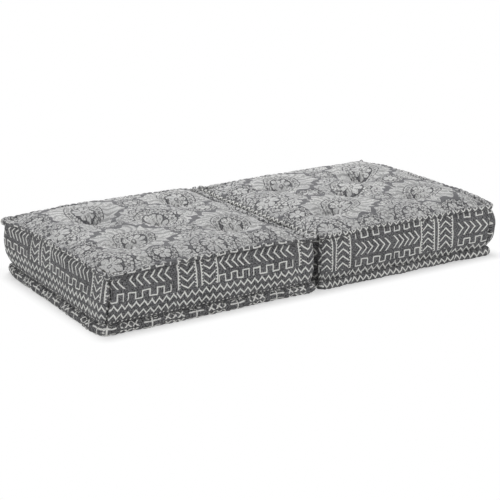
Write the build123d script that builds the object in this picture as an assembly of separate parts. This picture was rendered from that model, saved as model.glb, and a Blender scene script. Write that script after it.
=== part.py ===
from build123d import *
import os
from math import asin, atan2, cos, degrees, pi, radians, sin, sqrt

# A floor seat of two boxed cushions, hand tufted and with hand-rolled edges. A strip of cloth joins
# the two top rolls, so that one cushion folds over onto the other.
# Lengths are in millimetres. The origin is on the floor, under the middle of the joint. +X runs
# along the two cushions, +Z is up.

# The seat as a whole
cushion_side = 600.0  # plan size of one cushion over its side band, at the fullest
cushion_gap = 1.0  # free play between the side bands of the two cushions
roll_top_height = 150.0  # floor to the top of the top roll
crown_lift = 22.0  # top of the top roll to the top of the crown

# Cloth and free play
cloth = 1.2  # thickness of the cloth
layer_gap = 0.3  # free play between one layer and the next
cut_overrun = 5.0  # how far a cutting form passes the face that it cuts

# Hand-rolled edges
top_roll_diameter = 17.0
top_roll_inset = 1.5  # band at its fullest to the outside of the top roll
bottom_roll_diameter = 25.0
bottom_roll_inset = 8.0
floor_flat = 0.5  # depth of the flat that the seat's weight presses into the bottom roll
crease_offset = 2.0  # roll's centre line to the inner face of the band, where the two are sewn

# Pinched corner ears, as tapers that start inside the roll
top_ear_length = 18.0
top_ear_tip_radius = 4.5
top_ear_slope = 68.0  # degrees above level
bottom_ear_length = 20.0
bottom_ear_tip_radius = 6.0
bottom_ear_slope = 14.0
ear_root_share = 0.95  # of the roll's radius
ear_fold_count = 6

# Side band
band_corner_radius = 28.0  # in plan, at the fullest
band_full_share = 0.5  # how high up the band it is fullest
band_section_shares = (-1, -0.5, 0, 0.5, 1)  # of the way from the fullest line to the two creases

# Filling
side_fill = 30.0  # side of the square foam core to the outside of the band, at the fullest

# Crown, between the top rolls
crown_edge_lift = 4.0  # centre of the top roll to the edge of the top cloth
crown_flat_slope = 5.0  # degrees, where the flat middle of the crown meets its shoulder
crown_edge_slope = 33.0  # degrees, where the shoulder meets the roll

# Tufts, one in the middle of the cushion and one in each quarter
tuft_spacing = 300.0  # between the quarters' tufts, both ways
tuft_depth = 24.0
tuft_reach = 66.0  # radius at which the cloth starts to fall towards the tie
under_tuft_depth = 8.0
under_tuft_reach = 28.0
tuft_floor_radius = 6.0
tuft_ring_shares = ((1, 0), (0.6, 0.17), (0.3, 0.46))  # where the fall steepens: (of reach, of depth)
pucker_count = 8  # folds round a tie, and sides of its knots
tie_width = 4.0
tie_thickness = 1.0
slit_play = 0.3  # free play of a tie in its slit, all round
knot_diameter = 9.0
knot_height = 4.0
knot_lift = 0.5  # knot to the cloth that it holds down

# Strip that joins the two top rolls, hanging between them in a slack loop
strip_top_drop = 7.0  # top of the rolls to the strip's two edges
strip_loop_depth = 14.0
strip_end_margin = 45.0  # side of the cushion to the end of the strip

# Places worked out from the sizes above
half_side = cushion_side / 2
core_side = cushion_side - side_fill * 2
crown_height = roll_top_height + crown_lift
top_roll_radius = top_roll_diameter / 2
bottom_roll_radius = bottom_roll_diameter / 2
top_roll_centre_inset = top_roll_inset + top_roll_radius
bottom_roll_centre_inset = bottom_roll_inset + bottom_roll_radius
top_roll_level = roll_top_height - top_roll_radius
bottom_roll_level = bottom_roll_radius - floor_flat
band_top = top_roll_level - top_roll_radius - layer_gap
band_bottom = bottom_roll_level + bottom_roll_radius + layer_gap
band_full_level = band_bottom + (band_top - band_bottom) * band_full_share
band_top_inset = top_roll_centre_inset - crease_offset - cloth
band_bottom_inset = bottom_roll_centre_inset - crease_offset - cloth
top_panel_inset = top_roll_inset + top_roll_diameter + layer_gap
bottom_panel_inset = bottom_roll_inset + bottom_roll_diameter + layer_gap
crown_reach = half_side - top_panel_inset
crown_edge_level = top_roll_level + crown_edge_lift
crown_rise = crown_height - crown_edge_level
wadding_top_base = band_top + layer_gap
wadding_bottom_top = band_bottom - layer_gap
tuft_place = tuft_spacing / 2


def four_turns(shape):
    return [Rot(0, 0, quarter * 90) * shape for quarter in range(4)]


def outline(inset, corner_radius=0.0):
    # plan of the cushion, this far inside its fullest line
    side = cushion_side - inset * 2
    return RectangleRounded(side, side, corner_radius) if corner_radius else Rectangle(side, side)


def upright(face, bottom, top):
    return Pos(0, 0, bottom) * extrude(face, top - bottom)


def tapered(side_count, wide, narrow, length):
    # a polygon that narrows evenly along its length
    lean = degrees(atan2((wide - narrow) * cos(pi / side_count), length))
    return extrude(RegularPolygon(wide, side_count), length, taper=lean)


def bulged_form(cover, shares):
    # the space inside the band, this far inside the band's outer face
    sections = []
    for share in shares:
        crease, inset = (band_top, band_top_inset) if share > 0 else (band_bottom, band_bottom_inset)
        level = band_full_level + (crease - band_full_level) * abs(share)
        face = outline(inset * share**2 + cover, band_corner_radius - cover)
        sections.append(Pos(0, 0, level) * face)
    return loft(sections, ruled=True)


def crown_arcs():
    # radius of the flat arc in the middle of the crown, and of the tighter shoulders beside it
    flat, edge = radians(crown_flat_slope), radians(crown_edge_slope)
    run, fall = sin(edge) - sin(flat), cos(flat) - cos(edge)
    scale = sin(flat) * fall - (1 - cos(flat)) * run
    flat_radius = (crown_reach * fall - crown_rise * run) / scale
    shoulder_radius = (crown_rise * sin(flat) - crown_reach * (1 - cos(flat))) / scale
    return flat_radius, shoulder_radius


def crown_section():
    # upright section across the crown, with the filling under it
    flat_radius, shoulder_radius = crown_arcs()
    flat, edge = radians(crown_flat_slope), radians(crown_edge_slope)
    middle = (flat + edge) / 2
    flat_end = flat_radius * sin(flat)
    flat_level = crown_height - flat_radius * (1 - cos(flat))
    knee = flat_end + shoulder_radius * (sin(middle) - sin(flat))
    knee_level = flat_level - shoulder_radius * (cos(flat) - cos(middle))
    base = wadding_top_base - cut_overrun
    corners = ((-crown_reach, crown_edge_level), (-crown_reach, base))
    others = ((crown_reach, base), (crown_reach, crown_edge_level))
    edges = [
        Line(corners[0], corners[1]),
        Line(corners[1], others[0]),
        Line(others[0], others[1]),
        ThreePointArc(others[1], (knee, knee_level), (flat_end, flat_level)),
        ThreePointArc((flat_end, flat_level), (0, crown_height), (-flat_end, flat_level)),
        ThreePointArc((-flat_end, flat_level), (-knee, knee_level), corners[0]),
    ]
    return make_face([edge for line in edges for edge in line.edges()])


def tuft_places():
    return [(0, 0)] + [(x * tuft_place, y * tuft_place) for x in (-1, 1) for y in (-1, 1)]


def at_tufts(shape):
    # the same shape at each tuft
    return [Pos(x, y, 0) * shape for x, y in tuft_places()]


def tuft_level():
    # height of the crown at the quarters' tufts, before they are pulled down
    flat_radius, _ = crown_arcs()
    return crown_height - flat_radius + sqrt(flat_radius**2 - tuft_place**2)


def hollow(side_count, rings):
    # folded hollow that falls from z = 0 through rings of (radius, depth), each steeper than the last
    (wide, above), (narrow, below) = rings[:2]
    spread = (wide - narrow) / (below - above)
    rings = [(wide + spread * cut_overrun, above - cut_overrun), *rings[1:]]
    return [
        Pos(0, 0, -above) * Rot(180, 0, 0) * tapered(side_count, wide, narrow, below - above)
        for (wide, above), (narrow, below) in zip(rings, rings[1:])
    ]


def dimples():
    # the hollows that the ties pull into the crown, all down to one level, leaning with its surface
    rings = [(tuft_reach * radius, tuft_depth * depth) for radius, depth in tuft_ring_shares]
    cutters = hollow(pucker_count, rings + [(tuft_floor_radius, tuft_depth)])
    flat_radius, _ = crown_arcs()
    hollows = []
    for x, y in tuft_places():
        lean_x, lean_y = (degrees(asin(place / flat_radius)) / 2 for place in (x, y))
        spot = Location((x, y, tuft_level()), (-lean_y, lean_x, 0))
        hollows += [spot * cutter for cutter in cutters]
    return hollows


def cut_all(form, cutters):
    for cutter in cutters:
        form = form - cutter
    return form


def slits():
    width, thickness = tie_width + slit_play * 2, tie_thickness + slit_play * 2
    return at_tufts(upright(Rectangle(width, thickness), -cut_overrun, crown_height + cut_overrun))


def roll(radius, inset, level):
    # four runs of rolled edge, mitred at the corners
    reach = half_side - inset + radius
    run = Pos(-reach, half_side - inset, level) * extrude(Plane.YZ * Circle(radius), reach * 2)
    wedge = make_face(Polyline((0, 0), (half_side, half_side), (-half_side, half_side), close=True))
    run = run & upright(wedge, level - radius - cut_overrun, level + radius + cut_overrun)
    first, *others = four_turns(run)
    return first.fuse(*others)


def ears(radius, inset, level, length, tip_radius, slope):
    # the pinched cloth that stands out of each corner of a roll, tapered and folded
    corner = half_side - inset
    lean = cos(radians(slope)) / sqrt(2)
    root = Plane(origin=(corner, corner, level), z_dir=(lean, lean, sin(radians(slope))))
    ear = tapered(ear_fold_count, radius * ear_root_share, tip_radius, length)
    return four_turns(root * ear)


def top_roll():
    place = (top_roll_radius, top_roll_centre_inset, top_roll_level)
    tips = ears(*place, top_ear_length, top_ear_tip_radius, top_ear_slope)
    return roll(*place).fuse(*tips)


def bottom_roll():
    place = (bottom_roll_radius, bottom_roll_centre_inset, bottom_roll_level)
    tips = ears(*place, bottom_ear_length, bottom_ear_tip_radius, bottom_ear_slope)
    above_floor = upright(Rectangle(cushion_side, cushion_side), 0, roll_top_height)
    return roll(*place).fuse(*tips) & above_floor


def side_band():
    return bulged_form(0, band_section_shares) - bulged_form(cloth, band_section_shares)


def foam_core():
    block = upright(Rectangle(core_side, core_side), band_bottom, band_top)
    return cut_all(block, slits())


def side_wadding():
    # fills the band out between the straight sides of the core and the bulge
    core_space = core_side + layer_gap * 2
    form = bulged_form(cloth + layer_gap, band_section_shares[::2])
    return form - upright(Rectangle(core_space, core_space), 0, crown_height)


def tufted_crown():
    # the same section both ways, which mitres the shoulders at the corners
    vault = extrude(Plane.XZ * crown_section(), crown_reach, both=True)
    return cut_all(vault & Rot(0, 0, 90) * vault, dimples())


def top_layers():
    # top cloth, and the wadding that it holds down
    crown = tufted_crown()
    within = upright(outline(top_panel_inset), wadding_top_base, crown_height + cut_overrun)
    panel = (crown - Pos(0, 0, -cloth) * crown) & within
    wadding = (Pos(0, 0, -cloth - layer_gap) * crown) & within
    return cut_all(panel, slits()), cut_all(wadding, slits())


def bottom_layers():
    # bottom cloth, drawn up at the ties, and the wadding that lies on it
    rings = ((under_tuft_reach, 0), (tuft_floor_radius, under_tuft_depth))
    block = upright(outline(bottom_panel_inset), 0, wadding_bottom_top)
    cutters = [at_tufts(Rot(180, 0, 0) * cutter) for cutter in hollow(pucker_count, rings)]
    form = cut_all(block, sum(cutters, []))
    panel = form - Pos(0, 0, cloth) * form
    wadding = (Pos(0, 0, cloth + layer_gap) * form) & block
    return cut_all(panel, slits()), cut_all(wadding, slits())


def tuft_ties():
    # flat ties, each with a knot above the crown's hollow and one below the cushion
    upper = tuft_level() - tuft_depth + knot_lift
    lower = under_tuft_depth - knot_lift
    tie = upright(Rectangle(tie_width, tie_thickness), lower, upper)
    knot = RegularPolygon(knot_diameter / 2, pucker_count)
    top_knot = upright(knot, upper, upper + knot_height)
    under_knot = upright(knot, lower - knot_height, lower)
    return Compound(children=at_tufts(tie + top_knot + under_knot))


def hinge_strip():
    # a slack loop of cloth between the two top rolls, along most of the joint
    top = roll_top_height - strip_top_drop
    outer = cushion_gap / 2 + top_roll_inset - layer_gap
    inner = outer - cloth
    length = cushion_side - strip_end_margin * 2
    turn = top - strip_loop_depth + outer

    def loop(radius, rise):
        box = Pos(0, (turn + rise) / 2) * Rectangle(radius * 2, rise - turn)
        return box + Pos(0, turn) * Circle(radius)

    section = loop(outer, top) - loop(inner, top + cut_overrun)
    return extrude(Plane.XZ * section, length / 2, both=True)


def cushion_pieces():
    top_cloth, top_fill = top_layers()
    bottom_cloth, bottom_fill = bottom_layers()
    return {
        "foam_core": foam_core(),
        "side_wadding": side_wadding(),
        "top_wadding": top_fill,
        "bottom_wadding": bottom_fill,
        "top_panel": top_cloth,
        "bottom_panel": bottom_cloth,
        "side_band": side_band(),
        "top_roll": top_roll(),
        "bottom_roll": bottom_roll(),
        "tuft_ties": tuft_ties(),
    }


os.makedirs("parts", exist_ok=True)
pieces = cushion_pieces()
cushion_centre = half_side + cushion_gap / 2
for side_name, direction in (("left", -1), ("right", 1)):
    for piece_name, piece in pieces.items():
        placed = Pos(direction * cushion_centre, 0, 0) * piece
        export_step(placed, f"parts/{side_name}_{piece_name}.step")
export_step(hinge_strip(), "parts/hinge_strip.step")
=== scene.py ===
import bpy
import math
import numpy as np
from functools import partial
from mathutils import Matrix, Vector, noise


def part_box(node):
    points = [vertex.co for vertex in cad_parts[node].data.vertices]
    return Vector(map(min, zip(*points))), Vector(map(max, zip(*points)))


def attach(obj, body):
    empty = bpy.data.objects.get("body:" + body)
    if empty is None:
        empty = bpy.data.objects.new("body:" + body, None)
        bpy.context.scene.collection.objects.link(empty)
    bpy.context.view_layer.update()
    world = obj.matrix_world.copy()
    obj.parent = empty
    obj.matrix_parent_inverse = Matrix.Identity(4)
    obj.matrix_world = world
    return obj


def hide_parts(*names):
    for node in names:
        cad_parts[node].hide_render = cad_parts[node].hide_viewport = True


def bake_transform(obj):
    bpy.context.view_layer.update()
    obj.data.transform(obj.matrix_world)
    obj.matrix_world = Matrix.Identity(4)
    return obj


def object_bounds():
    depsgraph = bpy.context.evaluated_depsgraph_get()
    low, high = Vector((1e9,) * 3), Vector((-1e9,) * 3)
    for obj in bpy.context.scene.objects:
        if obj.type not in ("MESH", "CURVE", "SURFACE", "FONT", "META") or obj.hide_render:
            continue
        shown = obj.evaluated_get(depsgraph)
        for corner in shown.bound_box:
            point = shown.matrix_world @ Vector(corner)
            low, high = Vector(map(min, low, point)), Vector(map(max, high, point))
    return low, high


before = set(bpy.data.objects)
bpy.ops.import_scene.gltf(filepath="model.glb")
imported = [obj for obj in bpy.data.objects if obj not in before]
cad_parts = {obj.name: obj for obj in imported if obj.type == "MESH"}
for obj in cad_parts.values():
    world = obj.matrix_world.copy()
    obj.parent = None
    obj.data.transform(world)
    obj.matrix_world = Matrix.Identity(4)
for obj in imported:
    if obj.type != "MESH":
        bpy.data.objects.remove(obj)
cadLow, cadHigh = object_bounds()
mm = 0.001

# Two boxed floor cushions, hand tufted and with hand-rolled edges, joined along one top edge.
# Cloth places are kept in UV maps, in metres of cloth: damaskCloth on the top, mudCloth on the sides
# and underneath. Each cushion is shaped round its own middle and then put in its place.

shape = {
    "stitchPitch": 20 * mm,  # hand stitches along the rolled edges
    "cornerRadius": 28 * mm,  # of the band in plan
    "tuftReach": 150 * mm,  # tufts stand this far from the middle, each way
    # each tuft is a little off its place and pulled harder or softer, as hand work is, from the middle one
    # on: x and y in mm, and the pull
    "tuftWander": {"left": [(20, 26, 0.8), (12, 24, 0.7), (34, -12, 1.1), (4, 22, 0.95), (0, 0, 0.75)],
                   "right": [(0, -24, 1.05), (0, 0, 0.7), (22, -14, 1.05), (0, 0, 0.7), (0, -30, 1.15)]},
    # how far the top edge is puffed up between its corners: front, right, back and left side
    "topEdge": {"left": (8 * mm, -5 * mm, 9 * mm, 8 * mm), "right": (1.5 * mm, 15 * mm, 4 * mm, 0)},
    "footEdge": {"left": (0, 0, 0, 7 * mm), "right": (0, 0, 0, 0)},  # and the foot is pressed outward so far
    # the corner where the foot is drawn in under the band, and how far
    "footDraw": {"left": (3, 15 * mm), "right": (1, 6 * mm)},
    "footDrawReach": 55 * mm,
    # how far the corners are drawn out in plan, from the near left one round: x, y and reach in mm, and the
    # share of it that the top edge keeps
    "cornerPull": {"left": ((-17, -2, 230, 0.1), (7, 0, 80, 1), (0, 0, 75, 1), (-8, 8, 75, 1)),
                   "right": ((15, 0, 55, 1), (9, -9, 75, 1), (3, 3, 75, 1), (0, 0, 75, 1))},
}


def cushionSizes(side):
    band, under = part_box(f"{side}_side_band"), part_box(f"{side}_bottom_panel")
    return {
        "centre": np.array([(band[0].x + band[1].x) / 2, (band[0].y + band[1].y) / 2, 0]),
        "half": (band[1].x - band[0].x) / 2,
        "bandBottom": band[0].z,
        "bandTop": band[1].z,
        "crownTop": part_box(f"{side}_top_panel")[1].z,
        "foamTop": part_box(f"{side}_foam_core")[1].z,
        "underHalf": (under[1].x - under[0].x) / 2,
        "jointSide": 1 if side == "left" else -1,  # the way the other cushion lies
    }


sizes = {side: cushionSizes(side) for side in ("left", "right")}
half = sizes["left"]["half"]
bandBottom, bandTop = sizes["left"]["bandBottom"], sizes["left"]["bandTop"]
cornerRadius = shape["cornerRadius"]
cornerArc = math.pi / 2 * cornerRadius
unitRun = cornerArc + 2 * (half - cornerRadius)  # one corner and the side after it
aroundLength = 4 * unitRun
stitchCount = round(aroundLength / shape["stitchPitch"])
cornerWays = ((-1, -1), (1, -1), (1, 1), (-1, 1))
tuftPlaces = [(0, 0), (-1, -1), (-1, 1), (1, -1), (1, 1)]
tuftSpots = {side: [(x * shape["tuftReach"] + moveX * mm, y * shape["tuftReach"] + moveY * mm)
                    for (x, y), (moveX, moveY, pull) in zip(tuftPlaces, shape["tuftWander"][side])]
             for side in sizes}


def bell(value, reach):
    # 1 at 0, falling away to both sides
    return np.exp(-((value / reach) ** 2))


def wrapped(value, period):
    # the same place on a loop, counted from the half before 0 to the half after it
    return (value + period / 2) % period - period / 2


def sideOf(distance):
    # which corner and the side after it a place is on, from 0 for the near left one, and how far along them
    along = (np.asarray(distance, float) + cornerArc / 2) % aroundLength
    corner = np.minimum(np.floor(along / unitRun), 3)
    return corner, along - corner * unitRun


def outlinePoint(distance):
    # place and outward direction on the band's fullest line, counted from the middle of the near left corner
    corner, rest = sideOf(distance)
    turned = corner * math.pi / 2 + np.minimum(rest, cornerArc) / cornerRadius
    run = np.maximum(rest - cornerArc, 0)
    middle = (corner + 2.5) * math.pi / 2
    reach = math.sqrt(2) * (half - cornerRadius)
    outX, outY = -np.cos(turned), -np.sin(turned)
    x = np.cos(middle) * reach + cornerRadius * outX - run * outY
    y = np.sin(middle) * reach + cornerRadius * outY + run * outX
    return x, y, outX, outY


def insetPoints(distance, inset, z):
    # places inside that line, at some level
    x, y, outX, outY = outlinePoint(distance)
    return np.stack(np.broadcast_arrays(x - inset * outX, y - inset * outY, z), axis=-1)


def roundSteps(step):
    # places round the cushion, with the first one again at the end
    return np.linspace(0, aroundLength, round(aroundLength / step) + 1)


def facesJoint(side, distance):
    return outlinePoint(distance)[2] * sizes[side]["jointSide"] > 0.669


def tuftAway(side, x, y):
    return np.min([np.hypot(x - a, y - b) for a, b in tuftSpots[side]], axis=0)


def placed(side, points):
    # local points put in their cushion's place, with its corners drawn out
    points = np.array(points, float)
    lowness = np.clip(1 - points[..., 2] / bandTop, 0, 1) ** 1.5
    for (x, y), (pullX, pullY, reach, topShare) in zip(cornerWays, shape["cornerPull"][side]):
        away = np.hypot(points[..., 0] - x * half, points[..., 1] - y * half)
        near = bell(away, reach * mm) * (topShare + (1 - topShare) * lowness)
        points[..., 0] += near * pullX * mm
        points[..., 1] += near * pullY * mm
    return points + sizes[side]["centre"]


def edgeLift(side, distance, edge="topEdge"):
    # how far an edge is puffed out between its corners, by the side of the cushion
    number, rest = sideOf(distance)
    share = np.clip((rest - cornerArc) / (unitRun - cornerArc), 0, 1)
    return np.array(shape[edge][side])[number.astype(int)] * (1 - np.abs(2 * share - 1) ** 5)


def loopNoise(seed, count, distance):
    # a smooth random wander round the cushion, from -1 to 1
    values = np.random.default_rng(seed).uniform(-1, 1, count)
    place = np.asarray(distance) / aroundLength * count % count
    first = np.floor(place).astype(int) % count
    share = place - np.floor(place)
    share = share * share * (3 - 2 * share)
    return values[first] * (1 - share) + values[(first + 1) % count] * share


def stitchPull(distance, seed, width):
    # 1 where a stitch draws the cloth in and 0 between stitches, in an uneven hand
    place = np.asarray(distance) / aroundLength * stitchCount + 0.2 * loopNoise(seed, stitchCount, distance)
    gap = (place - np.round(place)) * shape["stitchPitch"]
    return (1 + 0.4 * loopNoise(seed + 1, stitchCount, distance)) * bell(gap, width)


def fieldNoise(x, y, scale, seed):
    x, y = np.broadcast_arrays(x, y)
    flat = [noise.noise(Vector((a / scale, b / scale, seed * 7.3))) for a, b in zip(x.ravel(), y.ravel())]
    return np.array(flat).reshape(x.shape)


def ringNoise(distance, level, scale, seed):
    # noise over the cushion's side that meets itself after one round
    angle = np.asarray(distance) / aroundLength * 2 * math.pi
    radius = aroundLength / (2 * math.pi) / scale
    x, y, z = np.broadcast_arrays(radius * np.cos(angle), radius * np.sin(angle), level / scale + seed * 7.3)
    flat = [noise.noise(Vector(p)) for p in zip(x.ravel(), y.ravel(), z.ravel())]
    return np.array(flat).reshape(x.shape)


def linked(name, mesh):
    piece = bpy.data.objects.new(name, mesh)
    bpy.context.scene.collection.objects.link(piece)
    mesh.shade_smooth()
    return piece


def gridMesh(name, points, maps, closedAlong=False, closedAcross=False):
    # quads over a grid of points; a UV map has one more row or column where the grid closes
    countAlong, countAcross = points.shape[:2]
    stepsAlong = countAlong if closedAlong else countAlong - 1
    stepsAcross = countAcross if closedAcross else countAcross - 1
    i, j = (k.ravel() for k in np.meshgrid(np.arange(stepsAlong), np.arange(stepsAcross), indexing="ij"))
    corners = [(i, j), (i + 1, j), (i + 1, j + 1), (i, j + 1)]
    faces = np.stack([a % countAlong * countAcross + b % countAcross for a, b in corners], axis=1)
    mesh = bpy.data.meshes.new(name)
    mesh.from_pydata(points.reshape(-1, 3).tolist(), [], faces.tolist())
    for mapName, values in maps.items():
        layer = mesh.uv_layers.new(name=mapName)
        layer.data.foreach_set("uv", np.stack([values[a, b] for a, b in corners], axis=1).ravel())
    return linked(name, mesh)


def faceStrip(piece, countAcross, firstAt, last, material):
    # gives the quads from one row to another, the first by the place along the grid, another material
    for polygon in piece.data.polygons:
        along, across = divmod(polygon.index, countAcross)
        if firstAt[along] <= across < last:
            polygon.material_index = material


def joined(name, parts):
    # one mesh of many small ones, each a list of points and a list of faces
    points, faces = [], []
    for partPoints, partFaces in parts:
        faces += [[k + len(points) for k in face] for face in partFaces]
        points += [tuple(p) for p in partPoints]
    mesh = bpy.data.meshes.new(name)
    mesh.from_pydata(points, [], faces)
    return linked(name, mesh)


def tubeAlong(path, radii, roundCount=6):
    # a closed tube through points, with its ends drawn to a tip
    path = np.asarray(path, float)
    heading = np.gradient(path, axis=0)
    heading /= np.linalg.norm(heading, axis=1)[:, None]
    across = np.cross(heading, [0.31, 0.17, 0.93])
    across /= np.linalg.norm(across, axis=1)[:, None]
    other = np.cross(heading, across)
    turn = np.arange(roundCount) / roundCount * 2 * math.pi
    rings = [p + r * (np.cos(turn)[:, None] * a + np.sin(turn)[:, None] * b)
             for p, r, a, b in zip(path, radii, across, other)]
    points = [path[0], *np.concatenate(rings), path[-1]]
    last = len(points) - 1
    faces = [(0, 1 + (k + 1) % roundCount, 1 + k) for k in range(roundCount)]
    for ring in range(len(path) - 1):
        low, high = 1 + ring * roundCount, 1 + (ring + 1) * roundCount
        faces += [(low + k, low + (k + 1) % roundCount, high + (k + 1) % roundCount, high + k)
                  for k in range(roundCount)]
    top = 1 + (len(path) - 1) * roundCount
    return points, faces + [(last, top + k, top + (k + 1) % roundCount) for k in range(roundCount)]


def dress(piece, side, slotName, nodes, *materials):
    for material in materials:
        piece.data.materials.append(material)
    if nodes:
        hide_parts(*nodes)
    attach(piece, f"{side}_cushion")
    return piece


# Materials

def linearColour(hexText):
    values = [int(hexText[k:k + 2], 16) / 255 for k in (1, 3, 5)]
    return tuple(v / 12.92 if v <= 0.04045 else ((v + 0.055) / 1.055) ** 2.4 for v in values) + (1.0,)


def addNode(tree, kind, *inputs, **settings):
    # adds one node and links its inputs; a kind in capitals is an operation of the Math node
    node = tree.nodes.new("ShaderNodeMath" if kind.isupper() else "ShaderNode" + kind)
    if kind.isupper():
        node.operation = kind
    pairs = list(zip(node.inputs, inputs))
    for name, value in settings.items():
        if name.replace("_", " ") in node.inputs:
            pairs.append((node.inputs[name.replace("_", " ")], value))
        else:
            setattr(node, name, value)
    for socket, value in pairs:
        if isinstance(value, bpy.types.NodeSocket):
            tree.links.new(value, socket)
        elif value is not None:
            socket.default_value = value
    return node.outputs[0]


def newMaterial(name):
    material = bpy.data.materials.new(name)
    material.use_nodes = True
    tree = material.node_tree
    return material, tree, tree.nodes["Principled BSDF"], partial(addNode, tree)


def clothPlace(node, mapName, swayGrain, sway):
    # the place on the cloth in millimetres, and its x and y swayed slowly, as a hand puts a print down
    place = node("VectorMath", node("UVMap", uv_map=mapName), (1000, 1000, 0), operation="MULTIPLY")
    noiseColour = node("TexNoise", place, Scale=1 / swayGrain, Detail=2, noise_dimensions="2D").node.outputs[1]
    move = node("VectorMath", node("VectorMath", noiseColour, (0.5, 0.5, 0.5), operation="SUBTRACT"),
                (sway, sway, 0), operation="MULTIPLY")
    x = node("SeparateXYZ", node("VectorMath", place, move, operation="ADD"))
    return place, x, x.node.outputs[1]


def gapTo(node, value, middle):
    return node("ABSOLUTE", node("SUBTRACT", value, middle))


def swing(node, value, gain):
    # a noise of 0 to 1 made to swing round 0
    return node("MULTIPLY", node("SUBTRACT", value, 0.5), gain)


def clearOf(node, mark, other):
    # a mark, left out where another one lies
    return node("MULTIPLY", mark, node("SUBTRACT", 1, other))


def polarPlace(node, x, y):
    squares = node("ADD", node("MULTIPLY", x, x), node("MULTIPLY", y, y))
    return node("SQRT", squares), node("ARCTAN2", y, x)


def inkLine(node, away, lineWidth, softness=0.8):
    # 1 where the distance from a line's middle is within half its width
    return node("MapRange", away, lineWidth / 2 + softness / 2, lineWidth / 2 - softness / 2, 0, 1)


def inkBetween(node, value, low, high):
    return node("MULTIPLY", node("GREATER_THAN", value, low), node("LESS_THAN", value, high))


def dotMark(node, beside, above, size):
    return inkLine(node, polarPlace(node, beside, above)[0], size)


def gatherInk(node, *marks):
    total = marks[0]
    for mark in marks[1:]:
        total = node("MAXIMUM", total, mark)
    return total


mudcloth = {
    "deepGround": "#3E3E3F",  # iron-dyed cotton, grey with washing
    "paleGround": "#8C8C8E",
    "print": "#FFFFFB",
    "repeat": 349,  # mm of cloth before the figures start again
    "lineWidth": 3.7,
    # figures along the repeat, in mm: spans of chevrons between meanders (start, end, count), arrow columns
    # (middle, half width), and zigzags by their level, each with the level of its dots
    "spans": ((117, 205, 5), (217, 332, 6)),
    "columns": ((28, 25), (90, 23)),
    "zigzags": ((65, 57), (86.5, 94)),
    "dotRow": 101,
    "chevrons": {"height": 18.5, "lean": 0.87},
    "meander": {"level": 31, "height": 18, "halfPeriod": 18},
    "arrows": {"spacing": 20, "lean": 0.85, "toothSpacing": 8, "toothWidth": 3},
    "rowTop": 50.5,  # of the meanders and columns
    "crosses": {"spacing": 116.4, "start": 53, "bar": 117, "shortBar": 108, "foot": 106},
    "hatching": {"from": 33, "low": 107, "high": 123, "spacing": 21},
    "threadPitch": 2.2,  # real yarns stand 1.1 mm apart; drawn twice as coarse to show
    "threadHeight": 0.5 * mm,
    "thread": "#9A9A9A",
    "roughness": 0.92,
    "sheen": 0.12,
}


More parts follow.
